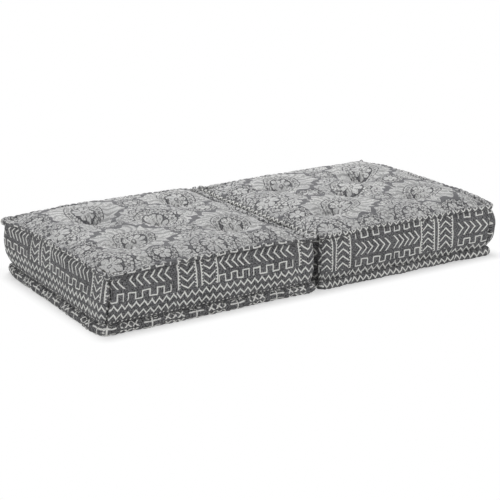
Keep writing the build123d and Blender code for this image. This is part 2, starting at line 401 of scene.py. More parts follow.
def mudclothPrint(node, across, up):
    # the print's figures, in rows up and down from the middle of the tall row at up = 0
    line, chevrons, meander, arrows = (mudcloth[k] for k in ("lineWidth", "chevrons", "meander", "arrows"))
    u = node("FLOORED_MODULO", across, mudcloth["repeat"])
    level = node("PINGPONG", node("ABSOLUTE", up), 125)
    marks = []
    for start, end, count in mudcloth["spans"]:  # chevrons and the meander above and below them
        pitch = (end - start) / count
        inSpan = inkBetween(node, u, start - 1, end + 1)
        leaned = node("SUBTRACT", node("SUBTRACT", u, start), node("MULTIPLY", level, chevrons["lean"]))
        leaned = node("DIVIDE", leaned, pitch)
        step = node("FRACT", leaned)
        away = node("MULTIPLY", gapTo(node, step, 0.22), pitch * 0.75)
        chevron = node("MULTIPLY", inkLine(node, away, line), node("LESS_THAN", level, chevrons["height"]))
        marks.append(node("MULTIPLY", chevron, inkBetween(node, leaned, 0, count)))
        halfPeriod = (end - start) / round((end - start) / meander["halfPeriod"])
        phase = node("DIVIDE", node("SUBTRACT", u, start), halfPeriod)
        flip = node("FLOORED_MODULO", node("FLOOR", phase), 2)
        levelAway = gapTo(node, level, node("MULTIPLY_ADD", flip, meander["height"], meander["level"]))
        uprightAway = node("MULTIPLY", node("PINGPONG", phase, 0.5), halfPeriod)
        onRow = inkBetween(node, level, meander["level"] - 1, meander["level"] + meander["height"] + 1)
        uprights = node("MULTIPLY", inkLine(node, uprightAway, line), onRow)
        marks.append(node("MULTIPLY", inSpan, gatherInk(node, inkLine(node, levelAway, line), uprights)))
    for middle, halfWidth in mudcloth["columns"]:  # stacked arrows between toothed lines
        away = gapTo(node, u, middle)
        stacked = node("FLOORED_MODULO", node("SUBTRACT", up, node("MULTIPLY", away, arrows["lean"])),
                       arrows["spacing"])
        arrowAway = node("MULTIPLY", gapTo(node, stacked, arrows["spacing"] / 2), 0.76)
        arrow = node("MULTIPLY", inkLine(node, arrowAway, line), node("LESS_THAN", away, halfWidth - 7))
        edge = inkLine(node, gapTo(node, away, halfWidth), line)
        onTooth = node("LESS_THAN", node("FLOORED_MODULO", up, arrows["toothSpacing"]), arrows["toothWidth"])
        teeth = node("MULTIPLY", onTooth, inkBetween(node, away, halfWidth - 5.5, halfWidth))
        column = gatherInk(node, arrow, edge, teeth)
        marks.append(node("MULTIPLY", column, node("LESS_THAN", level, mudcloth["rowTop"])))
    for middle, dotLevel in mudcloth["zigzags"]:
        wave = node("MULTIPLY_ADD", node("PINGPONG", u, 10), 1.25, middle - 6.25)
        marks.append(inkLine(node, node("MULTIPLY", gapTo(node, level, wave), 0.63), line))
        shift = 10 if dotLevel < middle else 0
        beside = node("PINGPONG", node("ADD", u, shift + 10), 10)
        marks.append(dotMark(node, beside, node("SUBTRACT", level, dotLevel), 3.6))
    beside = node("PINGPONG", u, 5.5)
    marks.append(dotMark(node, beside, node("SUBTRACT", level, mudcloth["dotRow"]), 4.2))
    # double crosses, with hatching between
    crosses, hatching = mudcloth["crosses"], mudcloth["hatching"]
    halfWay = crosses["spacing"] / 2
    crossPlace = node("PINGPONG", node("SUBTRACT", u, crosses["start"]), halfWay)
    bar = node("MULTIPLY", inkLine(node, gapTo(node, level, crosses["bar"]), line),
               node("LESS_THAN", crossPlace, 21))
    shortBar = node("MULTIPLY", inkLine(node, gapTo(node, level, crosses["shortBar"]), line),
                    inkBetween(node, crossPlace, 6, 15))
    stroke = node("MULTIPLY", inkLine(node, crossPlace, line), node("GREATER_THAN", level, crosses["foot"]))
    hatchSpan = inkBetween(node, crossPlace, hatching["from"], halfWay)
    hatchRow = inkBetween(node, level, hatching["low"], hatching["high"])
    for lean in (1, -1):
        slope = node("MULTIPLY_ADD", level, lean, u)
        hatch = inkLine(node, node("MULTIPLY", node("PINGPONG", slope, hatching["spacing"] / 2), 0.7), line)
        marks.append(node("MULTIPLY", hatch, node("MULTIPLY", hatchSpan, hatchRow)))
    return gatherInk(node, *marks, bar, shortBar, stroke)


def weaveCloth(tree, shader, node, place, cloth, colour, fuzz):
    # plain weave: yarns over and under, and the soft unevenness of washed cotton
    warp, weft = (node("TexWave", place, Scale=0.5 / cloth["threadPitch"], Distortion=1.2, Detail=1,
                       Detail_Scale=0.4, bands_direction=way).node.outputs[1] for way in "XY")
    yarn = node("MULTIPLY", warp, weft)
    lump = node("MULTIPLY_ADD", fuzz, 0.6, yarn)
    bump = node("Bump", Strength=0.8, Distance=cloth["threadHeight"], Height=lump)
    woven = node("MixRGB", node("MULTIPLY", yarn, 0.1), colour, linearColour(cloth["thread"]))
    tree.links.new(woven, shader.inputs["Base Color"])
    tree.links.new(bump, shader.inputs["Normal"])
    shader.inputs["Roughness"].default_value = cloth["roughness"]
    shader.inputs["Specular IOR Level"].default_value = 0.2
    shader.inputs["Sheen Weight"].default_value = cloth["sheen"]


def mudclothMaterial():
    # Handwoven mudcloth cotton: a coarse plain weave, dyed dark, the figures pale with dye worn into the
    # yarns. It gives a matt, slightly mottled face with uneven hand-drawn lines.
    material, tree, shader, node = newMaterial("handwovenMudclothCotton")
    place, across, up = clothPlace(node, "mudCloth", 34, 6)
    ink = mudclothPrint(node, across, up)
    fuzz = node("TexNoise", place, Scale=1 / 3.8, Detail=1, noise_dimensions="2D")
    mottle = node("TexNoise", place, Scale=1 / 60, Detail=3, noise_dimensions="2D")
    worn = node("MULTIPLY", ink, node("MapRange", fuzz, 0.25, 0.55, 0.8, 1.0))
    shade = node("ADD", swing(node, fuzz, 2.8), swing(node, mottle, 0.6))
    ground = node("MixRGB", node("ADD", shade, 0.5), linearColour(mudcloth["deepGround"]),
                  linearColour(mudcloth["paleGround"]))
    colour = node("MixRGB", worn, ground, linearColour(mudcloth["print"]))
    weaveCloth(tree, shader, node, place, mudcloth, colour, fuzz)
    return material


damask = {
    "paleFigure": "#F6F6F4",
    "deepFigure": "#C0C0C1",
    "ground": "#767679",
    "outline": "#4A4A4D",
    "repeat": 285,  # mm between medallions each way
    "lineWidth": 3.4,  # real outlines are about 1 mm wide; drawn coarser to show
    "flowers": ((44, 0.3, 5), (31, 0.6, 6)),  # small ones: mm apart, the share left out, petals
    # medallions at the middle of each cell and bouquets half a cell away: place in repeats, size in mm, petals
    "medallions": ((0, 0, 30, 9), (0.5, 0.5, 34, 8), (0.5, 0, 22, 6), (0, 0.5, 22, 6)),
    "leafGrain": 62,  # mm
    "leafEdge": (0.13, 0.15),
    "leafBend": 1.5,  # how far the leaves and their lobes bend the ogee
    "lobeBend": 0.6,
    "bandWidth": 0.25,  # of the grey ogee, as a share of the wave's height
    "besideBand": 0.06,
    "feathers": {"start": 0.3, "count": 22, "ring": 0.11, "ink": 0.62},
    "speckGrain": 13,
    "stippleGrain": 7.5,
    "threadPitch": 2.0,  # real yarns stand 0.7 mm apart; drawn coarser to show
    "threadHeight": 0.35 * mm,
    "thread": "#C4C4C4",
    "roughness": 0.9,
    "sheen": 0.1,
}


def flowerMarks(node, radius, turn, size, petals):
    # a flower seen from above: petals, the dark gaps between them, an eye and a dark outline
    petal = node("ABSOLUTE", node("COSINE", node("MULTIPLY", turn, petals / 2)))
    rim = node("MULTIPLY_ADD", petal, size * 0.28, size * 0.72)
    inside = node("LESS_THAN", radius, rim)
    gap = node("MULTIPLY", node("LESS_THAN", petal, 0.3), node("GREATER_THAN", radius, size * 0.42))
    eye = inkBetween(node, radius, size * 0.1, size * 0.1 + damask["lineWidth"])
    edge = inkBetween(node, node("SUBTRACT", radius, rim), 0, damask["lineWidth"])
    return inside, node("MAXIMUM", node("MULTIPLY", node("MAXIMUM", gap, eye), inside), edge)


def damaskMaterial():
    # Damask-printed cotton: a pale floral print with fine dark outlines over a grey ground. It gives a
    # dense, lacy, matt face that reads as light grey from a few steps away.
    material, tree, shader, node = newMaterial("damaskPrintedCotton")
    place, x, y = clothPlace(node, "damaskCloth", 70, 14)
    repeat = damask["repeat"]
    mirrored = node("CombineXYZ", node("PINGPONG", x, repeat / 2), node("PINGPONG", y, repeat / 2), 0)
    elsewhere = node("VectorMath", mirrored, (611, 407, 0), operation="ADD")
    # lobed leaves: broad pale shapes between grey paths, each with a fine dark outline
    field = node("TexNoise", mirrored, Scale=1 / damask["leafGrain"], Detail=1, Distortion=0.9,
                 noise_dimensions="2D")
    contour = node("PINGPONG", node("MULTIPLY", field, 5.5), 0.5)
    figure = node("MapRange", contour, *damask["leafEdge"], 0, 1)
    speck = node("TexVoronoi", elsewhere, Scale=1 / damask["speckGrain"], Randomness=0.8,
                 voronoi_dimensions="2D")
    cloud = node("TexNoise", elsewhere, Scale=1 / 75, Detail=1, noise_dimensions="2D")
    ink = node("MULTIPLY", node("LESS_THAN", speck, 0.27), node("GREATER_THAN", cloud, 0.47))
    # flowers crowd over them
    for source, (grain, pickLimit, petals) in zip((mirrored, elsewhere), damask["flowers"]):
        cell = node("TexVoronoi", source, Scale=1 / grain, Randomness=0.65, voronoi_dimensions="2D")
        fromCentre = node("SeparateXYZ", node("VectorMath", source, cell.node.outputs[2], operation="SUBTRACT"))
        picked = node("SeparateXYZ", cell.node.outputs[1])
        radius, turn = polarPlace(node, fromCentre, fromCentre.node.outputs[1])
        inside, dark = flowerMarks(node, radius, node("ADD", turn, node("MULTIPLY", picked, 9)), grain * 0.43,
                                   petals)
        chosen = node("GREATER_THAN", picked, pickLimit)
        inside, dark = node("MULTIPLY", inside, chosen), node("MULTIPLY", dark, chosen)
        figure = node("MAXIMUM", figure, inside)
        ink = node("MAXIMUM", clearOf(node, ink, inside), dark)
    # the ogee lattice: a grey band between pale lines, feathers inside every other cell of it
    wave = node("ADD", node("COSINE", node("MULTIPLY", x, 2 * math.pi / repeat)),
                node("COSINE", node("MULTIPLY", y, 2 * math.pi / repeat)))
    lobes = node("TexNoise", mirrored, Scale=1 / 24, Detail=0, noise_dimensions="2D")
    bent = node("ADD", swing(node, field, damask["leafBend"]), swing(node, lobes, damask["lobeBend"]))
    ogeeAway = node("ABSOLUTE", node("ADD", wave, bent))
    bandWidth = damask["bandWidth"]
    onBand = node("LESS_THAN", ogeeAway, bandWidth)
    cellX, cellY = (node("WRAP", k, repeat / 2, -repeat / 2) for k in (x, y))
    cellRadius, cellTurn = polarPlace(node, cellX, cellY)
    feathers = damask["feathers"]
    feathered = node("GREATER_THAN", node("ADD", wave, bent), feathers["start"])
    curl = node("MULTIPLY_ADD", node("SINE", node("MULTIPLY", cellRadius, feathers["ring"])), 1.3,
                node("MULTIPLY", cellTurn, feathers["count"]))
    quill = node("GREATER_THAN", node("SINE", node("MULTIPLY_ADD", field, 9, curl)), 0.45)
    quill = node("MULTIPLY", quill, feathers["ink"])
    figure = node("MAXIMUM", figure, feathered)
    ink = node("ADD", node("MULTIPLY", ink, node("MULTIPLY", node("SUBTRACT", 1, feathered), 0.75)),
               node("MULTIPLY", quill, feathered))
    figure = clearOf(node, figure, onBand)
    besideBand = inkBetween(node, ogeeAway, bandWidth, bandWidth + damask["besideBand"])
    ink = clearOf(node, ink, node("MAXIMUM", onBand, besideBand))
    # medallions and bouquets, in wreaths of buds
    for shiftX, shiftY, size, petals in damask["medallions"]:
        localX, localY = (node("WRAP", node("SUBTRACT", k, shift * repeat), repeat / 2, -repeat / 2)
                          for k, shift in ((x, shiftX), (y, shiftY)))
        radius, turn = polarPlace(node, localX, localY)
        wreathSpan = inkBetween(node, radius, size, size * 1.8)
        wreathAway = node("SUBTRACT", radius, size * 1.4)
        step = 2 * math.pi / (petals * 2)
        alongRing = node("MULTIPLY", node("WRAP", turn, step / 2, -step / 2), size * 1.4)
        budRadius, budTurn = polarPlace(node, alongRing, wreathAway)
        inside, dark = flowerMarks(node, budRadius, budTurn, size * 0.36, 6)
        figure = node("MAXIMUM", clearOf(node, figure, wreathSpan), node("MULTIPLY", inside, wreathSpan))
        ink = node("MAXIMUM", clearOf(node, ink, wreathSpan), node("MULTIPLY", dark, wreathSpan))
        inside, dark = flowerMarks(node, radius, turn, size, petals)
        onFlower = node("LESS_THAN", radius, size)
        figure = node("MAXIMUM", clearOf(node, figure, onFlower), inside)
        ink = node("MAXIMUM", clearOf(node, ink, onFlower), dark)
    # fine stipple inside the pale figures
    stipple = node("TexVoronoi", place, Scale=1 / damask["stippleGrain"], Randomness=0.9,
                   voronoi_dimensions="2D")
    patch = node("TexNoise", place, Scale=1 / 40, Detail=1, noise_dimensions="2D")
    dots = node("MULTIPLY", node("LESS_THAN", stipple, 0.3), node("MapRange", patch, 0.4, 0.55, 0.1, 0.75))
    ink = node("MAXIMUM", ink, node("MULTIPLY", dots, figure))
    fuzz = node("TexNoise", place, Scale=1 / 3, Detail=2, noise_dimensions="2D")
    mottle = node("TexNoise", place, Scale=1 / 80, Detail=3, noise_dimensions="2D")
    fade = node("ADD", swing(node, fuzz, 1.3), swing(node, mottle, 1.1))
    pale = node("MixRGB", node("ADD", fade, 0.5), linearColour(damask["deepFigure"]),
                linearColour(damask["paleFigure"]))
    figureWorn = node("MULTIPLY", figure, node("MapRange", fuzz, 0.2, 0.5, 0.75, 1))
    colour = node("MixRGB", figureWorn, linearColour(damask["ground"]), pale)
    inkWorn = node("MULTIPLY", ink, node("MapRange", fuzz, 0.3, 0.6, 0.5, 0.85))
    colour = node("MixRGB", inkWorn, colour, linearColour(damask["outline"]))
    weaveCloth(tree, shader, node, place, damask, colour, fuzz)
    return material


def fillingMaterial(name, dark, light, grain, height, roughness):
    # foam cells, carded cotton or waxed yarn: one grain, its shade and its bump
    material, tree, shader, node = newMaterial(name)
    place = node("TexCoord").node.outputs[3]
    cells = node("TexVoronoi", place, Scale=1 / (grain * mm), Randomness=1, voronoi_dimensions="3D")
    cloud = node("TexNoise", place, Scale=1 / (grain * 9 * mm), Detail=3)
    shade = node("MULTIPLY_ADD", cells, 0.5, node("MULTIPLY", cloud, 0.6))
    tree.links.new(node("MixRGB", shade, linearColour(dark), linearColour(light)), shader.inputs["Base Color"])
    tree.links.new(node("Bump", Strength=0.7, Distance=height * mm, Height=cells), shader.inputs["Normal"])
    shader.inputs["Roughness"].default_value = roughness
    shader.inputs["Specular IOR Level"].default_value = 0.25
    return material


mudclothCotton = mudclothMaterial()
damaskCotton = damaskMaterial()
foamCells = fillingMaterial("openCellPolyurethaneFoam", "#B9AE8B", "#D9D0B2", 1.2, 0.6, 0.95)
cardedCotton = fillingMaterial("cardedCottonWadding", "#C9C5BA", "#ECE9E1", 2.5, 1.2, 0.98)
# waxed linen twine, grey like the cloth, drawn darker as painted shade, so the band's closing seam and the
# stitches over the creases read as dark as the shade in them
twineWithPaintedShade = fillingMaterial("waxedLinenTwineWithPaintedShade", "#232324", "#4C4C4D", 0.8, 0.25, 0.6)
print("materials made")


# The print's place on each cushion: where the repeat starts and which way up the cloth was cut
printPlace = {
    "left": {"start": -187 * mm, "direction": 1, "tallRow": 108 * mm, "upward": 1,
             "damaskShift": np.array([121, 108]) * mm},
    "right": {"start": 455 * mm, "direction": -1, "tallRow": 72 * mm, "upward": -1,
              "damaskShift": np.array([101, 132]) * mm},
}


def mudUv(side, distance, level):
    laid = printPlace[side]
    distance, level = np.broadcast_arrays(distance, level)
    return np.stack([laid["start"] + laid["direction"] * distance,
                     laid["upward"] * (level - laid["tallRow"])], axis=-1)


def damaskUv(side, x, y):
    shift = printPlace[side]["damaskShift"]
    return np.stack(np.broadcast_arrays(x + shift[0], y + shift[1]), axis=-1)


# Side band: the boxing strip, fullest halfway up and drawn in at both creases

band = {
    "topInset": 6.8 * mm,  # how far the creases lie inside the fullest line
    "bottomInset": 8.5 * mm,
    "clothHeight": 113 * mm,  # of cloth between the two creases
    "topFullness": 2.3,
    "bottomFullness": 2.9,
    "puckerDepth": 2.4 * mm,
    "puckerReach": 15 * mm,
    "pullWidth": 5.5 * mm,
    "sway": 3.8 * mm,
    "seamDepth": 12 * mm,
    # the strip's closing seam: its place along the outline, and how it wanders on its way up
    "seam": {"left": {"start": 6 * mm, "width": 3.6 * mm, "wander": 2.5 * mm, "turns": 3, "phase": 0.5,
                      "bulge": 2.5 * mm, "bulgeAway": 7 * mm, "bulgeReach": 4 * mm},
             "right": {"start": unitRun - 13 * mm, "width": 3.5 * mm, "wander": 3 * mm, "turns": 2.2,
                       "phase": 0, "bulge": 11 * mm, "bulgeAway": 24 * mm, "bulgeReach": 15 * mm}},
    "cornerCrease": 1.6 * mm,
    "cornerReach": 34 * mm,
    "cleftDepth": 12 * mm,
    "step": 3.2 * mm,
}


def footDraw(side, distance):
    # how far the foot is drawn in at the corners where it lies under the band
    corner, depth = shape["footDraw"][side]
    return depth * bell(distance - corner * unitRun, shape["footDrawReach"])


def cleft(distance):
    # the right cushion's joint side is drawn in just behind its front corner, where the joint gapes
    return band["cleftDepth"] * bell(wrapped(distance + 25 * mm, aroundLength), 11 * mm)


def seamPlace(side, share):
    seam = band["seam"][side]
    return seam["start"] + seam["wander"] * np.sin(share * seam["turns"] + seam["phase"])


def bandSurface(side, distance, share, inward=0):
    # share goes from -1 at the bottom crease to 1 at the top one
    middle, halfHeight = (bandBottom + bandTop) / 2, (bandTop - bandBottom) / 2
    z = middle + share * halfHeight + edgeLift(side, distance) * ((1 + share) / 2) ** 1.3
    inset = np.where(share > 0, band["topInset"] * np.abs(share) ** band["topFullness"],
                     band["bottomInset"] * np.abs(share) ** band["bottomFullness"]) + inward
    inset = inset - (edgeLift(side, distance, "footEdge") - footDraw(side, distance)) * ((1 - share) / 2) ** 2
    seed = 10 if side == "left" else 40
    level = share * halfHeight
    for fromCrease, pullSeed in (((1 - share) * halfHeight, seed), ((1 + share) * halfHeight, seed + 3)):
        pull = stitchPull(distance, pullSeed, band["pullWidth"]) - 0.35
        inset = inset + band["puckerDepth"] * pull * bell(fromCrease, band["puckerReach"])
    inset = inset - band["sway"] * (ringNoise(distance, level, 110 * mm, seed + 5)
                                    + 0.5 * ringNoise(distance, level * 0.6, 38 * mm, seed + 6)) * (1 - share ** 4)
    atCorner = bell(wrapped(distance, unitRun), band["cornerReach"])
    inset = inset + band["cornerCrease"] * atCorner * ringNoise(distance, level * 0.5, 14 * mm, seed + 7)
    # the face against the other cushion is pressed flat
    inset = np.where(facesJoint(side, distance), np.maximum(inset, 0.4 * mm), inset)
    # the closing seam is sunk, and the cloth beside it stands out
    seam = band["seam"][side]
    fromSeam = wrapped(distance - seamPlace(side, share), aroundLength)
    inset = inset + band["seamDepth"] * bell(fromSeam, seam["width"])
    if side == "left":
        inset = inset - seam["bulge"] * bell(fromSeam - seam["bulgeAway"], seam["bulgeReach"])
    else:
        beside = bell(distance - seam["start"] - seam["bulgeAway"], seam["bulgeReach"])
        inset = inset - seam["bulge"] * beside * (1 - np.abs(share) ** 3) + cleft(distance)
    return placed(side, insetPoints(distance, inset, z))


def makeBand(side):
    around = roundSteps(band["step"])
    share = np.linspace(-1, 1, 31)
    rows = bandSurface(side, around[:-1, None], share[None, :])
    # the edges are turned in behind the rolls
    lifted = bandTop + 3 * mm + edgeLift(side, around[:-1])
    tucks = [placed(side, insetPoints(around[:-1], inset, z))
             for inset, z in ((13 * mm, bandBottom - 3 * mm), (12 * mm, lifted))]
    points = np.concatenate([tucks[0][:, None], rows, tucks[1][:, None]], axis=1)
    cloth = np.concatenate([[-8 * mm], (share + 1) / 2 * band["clothHeight"], [band["clothHeight"] + 8 * mm]])
    stretch = edgeLift(side, around[:, None]) * np.clip(cloth / band["clothHeight"], 0, 1)[None, :] ** 1.3
    piece = gridMesh(f"{side}_boxing_band", points,
                     {"mudCloth": mudUv(side, around[:, None], cloth[None, :] + stretch)}, closedAlong=True)
    return dress(piece, side, "mudcloth", [f"{side}_side_band"], mudclothCotton)


# Rolled edges: the cloth and its wadding pinched into a firm roll and sewn through

rolls = {
    "top_roll": {"radius": 8.5 * mm, "inset": 10 * mm, "level": bandTop + 8.8 * mm, "crease": -68, "back": 172,
                 "clothAtCrease": 122 * mm, "seed": 70, "pinch": 0.34, "seam": 33},
    "bottom_roll": {"radius": 12.5 * mm, "inset": 8 * mm, "level": 12 * mm, "crease": 75, "back": 190,
                    "clothAtCrease": 0, "seed": 90, "pinch": 0.17},
}
rollCloth = {
    "step": 3 * mm,
    "pullWidth": 4.6 * mm,
    "creaseReach": 48,  # degrees round the roll that each stitch pinches, at its crease and at its back
    "backReach": 50,
    "pinchElsewhere": 0.42,
    "bigLump": 0.13,  # shares of the radius
    "smallLump": 0.07,
    "swell": 0.05,
    "wander": 1.6 * mm,
    "rise": 1.7 * mm,
}


def rollSurface(side, which, distance, angle):
    # angle in degrees: 0 outward, 90 up
    roll = rolls[which]
    seed = roll["seed"] + (0 if side == "left" else 7)
    turn = np.radians(angle)
    pull = stitchPull(distance, seed, rollCloth["pullWidth"])
    nearCrease = bell(wrapped(angle - roll["crease"], 360), rollCloth["creaseReach"])
    nearBack = bell(wrapped(angle - roll["back"], 360), rollCloth["backReach"])
    elsewhere = rollCloth["pinchElsewhere"]
    reach = elsewhere + (1 - elsewhere) * np.maximum(nearCrease, nearBack)
    lump = ringNoise(distance, turn * roll["radius"], 26 * mm, seed + 2) * rollCloth["bigLump"]
    lump = lump + ringNoise(distance, turn * roll["radius"], 9 * mm, seed + 3) * rollCloth["smallLump"]
    swell = rollCloth["swell"] * (1 - pull)
    radius = roll["radius"] * (1 + swell + lump - roll["pinch"] * pull * reach)
    inset = roll["inset"] + rollCloth["wander"] * loopNoise(seed + 4, 34, distance)
    if side == "right":
        inset = inset + 0.6 * cleft(distance)
    level = roll["level"] + rollCloth["rise"] * loopNoise(seed + 5, 40, distance)
    if which == "top_roll":
        level = level + edgeLift(side, distance)
    else:
        inset = inset - edgeLift(side, distance, "footEdge") + footDraw(side, distance)
    inset = inset - radius * np.cos(turn)
    inset = np.where(facesJoint(side, distance), np.maximum(inset, 0.3 * mm), inset)
    z = np.maximum(level + radius * np.sin(turn), 0.15 * mm)
    return placed(side, insetPoints(distance, inset, z))


def makeRoll(side, which):
    roll = rolls[which]
    around = roundSteps(rollCloth["step"])
    if which == "top_roll":
        angles = np.concatenate([np.linspace(-140, roll["seam"], 15), np.linspace(roll["seam"] + 3, 205, 12)])
    else:
        angles = np.linspace(95, -255, 26)
    points = rollSurface(side, which, around[:-1, None], angles[None, :])
    closing = np.append(angles, angles[0] + (360 if angles[1] > angles[0] else -360))
    cloth = roll["clothAtCrease"] + roll["radius"] * np.radians(closing - roll["crease"])
    cloth = cloth[None, :] + (edgeLift(side, around[:, None]) if which == "top_roll" else 0)
    inward = roll["inset"] - roll["radius"] * np.radians(90 - closing)
    laid = insetPoints(around[:, None], inward, 0)
    maps = {"mudCloth": mudUv(side, around[:, None], cloth),
            "damaskCloth": damaskUv(side, laid[..., 0], laid[..., 1])}
    piece = gridMesh(f"{side}_{which}ed_edge", points, maps, closedAlong=True, closedAcross=True)
    dress(piece, side, "damask_cloth" if which == "top_roll" else "mudcloth", [f"{side}_{which}"],
          mudclothCotton, damaskCotton)
    if which == "top_roll":
        middle = (around[:-1] + around[1:]) / 2
        byJoint = (sideOf(middle)[0] == 3) & (side == "right")  # there the sides' cloth comes over the roll
        wander = loopNoise(roll["seed"] + 8, 60, middle)
        faceStrip(piece, len(angles), np.round(np.where(byJoint, 20, 14) + wander), len(angles) - 1, 1)
    return piece


# Corner ears: where two rolled edges meet, the spare cloth stands out as a pinched ear

ears = {
    "top_roll": {"length": 21 * mm, "rootRadius": 10 * mm, "tipRadius": 7.5 * mm, "slope": 30},
    "bottom_roll": {"length": 17 * mm, "rootRadius": 12.5 * mm, "tipRadius": 8 * mm, "slope": 0},
    # ears that differ from the rest: the share of the length, and how many degrees lower they hang
    "odd": {("left", "top_roll", 3): (0.9, 62), ("left", "bottom_roll", 3): (0.5, 0),
            ("right", "top_roll", 1): (0.45, 40), ("right", "bottom_roll", 1): (0.35, 0)},
}


def makeEars(side, which):
    ear, roll = ears[which], rolls[which]
    random = np.random.default_rng(roll["seed"] + (31 if side == "left" else 32))
    rings, roundCount = 13, 28
    parts = []
    for corner in range(4):
        x, y, outX, outY = (float(k) for k in outlinePoint(corner * unitRun))
        lengthShare, drop = ears["odd"].get((side, which, corner), (1, 0))
        slope = math.radians(ear["slope"] - drop + random.uniform(-12, 12))
        length = ear["length"] * lengthShare
        out = np.array([outX * math.cos(slope), outY * math.cos(slope), math.sin(slope)])
        turnedX = random.uniform(-0.15, 0.15)
        side1 = np.array([-outY, outX, turnedX])
        side1 /= np.linalg.norm(side1)
        side2 = np.cross(out, side1)
        inset = roll["inset"] + (footDraw(side, corner * unitRun) if which == "bottom_roll" else 0)
        root = np.array([x - inset * outX, y - inset * outY, roll["level"]])
        turn = np.arange(roundCount) / roundCount * 2 * math.pi
        folds = random.integers(3, 5)
        phase = random.uniform(0, 6)
        points = []
        for k in range(rings):
            share = k / (rings - 1)
            along = length * (share - 0.15)
            taper = ear["rootRadius"] * (1 - share) + ear["tipRadius"] * share
            taper *= math.sqrt(max(1 - max(share - 0.62, 0) ** 2 / 0.38 ** 2 * 0.93, 0.02))
            radius = taper * (1 + 0.17 * share * np.sin(folds * turn + phase + 1.6 * share)
                              + 0.07 * np.sin(7 * turn + phase * 2 + 2 * share))
            ring = root + out * along + radius[:, None] * (0.82 * np.cos(turn)[:, None] * side1
                                                          + 1.1 * np.sin(turn)[:, None] * side2)
            points.append(ring)
        points = np.array(points)
        tip = points[-1].mean(axis=0) + out * 0.8 * mm
        points = np.concatenate([points.reshape(-1, 3), [tip]])
        points[:, 2] = np.maximum(points[:, 2], 0.2 * mm)
        joint = sizes[side]["jointSide"]
        points[:, 0] = np.where(points[:, 0] * joint > half - 0.3 * mm, (half - 0.3 * mm) * joint, points[:, 0])
        faces = [(a * roundCount + b, a * roundCount + (b + 1) % roundCount,
                  (a + 1) * roundCount + (b + 1) % roundCount, (a + 1) * roundCount + b)
                 for a in range(rings - 1) for b in range(roundCount)]
        last = (rings - 1) * roundCount
        faces += [(last + b, last + (b + 1) % roundCount, rings * roundCount) for b in range(roundCount)]
        faces.append(tuple(reversed(range(roundCount))))
        parts.append((placed(side, points), faces))
    piece = joined(f"{side}_{which}_ears", parts)
    mesh = piece.data
    centre = sizes[side]["centre"]
    for mapName in ("mudCloth", "damaskCloth"):
        layer = mesh.uv_layers.new(name=mapName)
        for loop in mesh.loops:
            p = mesh.vertices[loop.vertex_index].co
            if mapName == "damaskCloth":
                layer.data[loop.index].uv = damaskUv(side, p.x - centre[0], p.y - centre[1])
            else:
                layer.data[loop.index].uv = mudUv(side, (p.x + p.y) * 0.7, (p.z - 0.02) * 1.3)
    materials = (damaskCotton, mudclothCotton) if which == "top_roll" else (mudclothCotton,)
    dress(piece, side, "damask_cloth" if which == "top_roll" else "mudcloth", [], *materials)
    if which == "top_roll":
        for polygon in mesh.polygons:
            if polygon.normal.z < 0.15:
                polygon.material_index = 1
    return piece


# Stitches: short lengths of twine that go over each crease

stitches = {
    "reach": 24,  # degrees round the roll, each way
    "offset": 14,  # degrees from the crease, towards the roll
    "radii": np.array([0.35, 0.75, 0.8, 0.75, 0.35]) * mm,
    # the ones that close the band, by their share of its height from -1 to 1
    "seamCount": 11,
    "seamStart": -0.9,
    "seamPitch": 0.165,
    "seamLength": 0.13,
    "seamRadii": np.array([1.2, 2.0, 2.0, 1.2]) * mm,
}


def makeStitches(side, which):
    roll = rolls[which]
    seed = roll["seed"] + (0 if side == "left" else 7)
    random = np.random.default_rng(seed + 300)
    parts = []
    for k in range(stitchCount):
        distance = (k + random.uniform(-0.08, 0.08)) * aroundLength / stitchCount
        middle = roll["crease"] + stitches["offset"] * (1 if which == "top_roll" else -1)
        lean = random.uniform(1.0, 4.0) * mm
        angles = np.linspace(middle - stitches["reach"], middle + stitches["reach"], 5)
        spread = np.linspace(-lean, lean, 5)
        path = np.array([rollSurface(side, which, distance + s, a) for s, a in zip(spread, angles)])
        parts.append(tubeAlong(path, stitches["radii"], 5))
    if which == "top_roll":
        for k in range(stitches["seamCount"]):
            start = stitches["seamStart"] + k * stitches["seamPitch"]
            share = np.linspace(start, start + stitches["seamLength"], 4)
            path = bandSurface(side, seamPlace(side, share), share, inward=-1.2 * mm)
            parts.append(tubeAlong(path, stitches["seamRadii"]))
    piece = joined(f"{side}_{which}_stitches", parts)
    return dress(piece, side, "twine", [], twineWithPaintedShade)


# Crown: the tufted top cloth

crown = {
    "reach": 282 * mm,  # half the side of the cloth that shows inside the rolls
    "edgeLevel": bandTop + 9.5 * mm,
    "tuftDepth": 13 * mm,  # the pinch at the tie, wider than deep as the tie takes a short stitch sideways
    "tuftReach": 15 * mm,
    "hollowDepth": 20 * mm,
    "hollowReach": 50 * mm,
    "behindReach": 21 * mm,
    "beforeReach": 75 * mm,
    "creaseDepth": 5 * mm,  # the long fold from each tuft's stitch, and the bulge before it
    "bulge": 2.5 * mm,
    "pleat": 3.2 * mm,  # small folds that fan out round each tuft
    "edgeReach": 75 * mm,  # how far in from the edge the top follows its puffs
    "edgePleat": 1.7 * mm,
    "foamDent": 11 * mm,
    "dentReach": 34 * mm,
    "step": 5.5 * mm,
}


def foamTop(side, x, y):
    # the top of the foam, dented at the tufts
    return sizes[side]["foamTop"] - crown["foamDent"] * bell(tuftAway(side, x, y), crown["dentReach"])


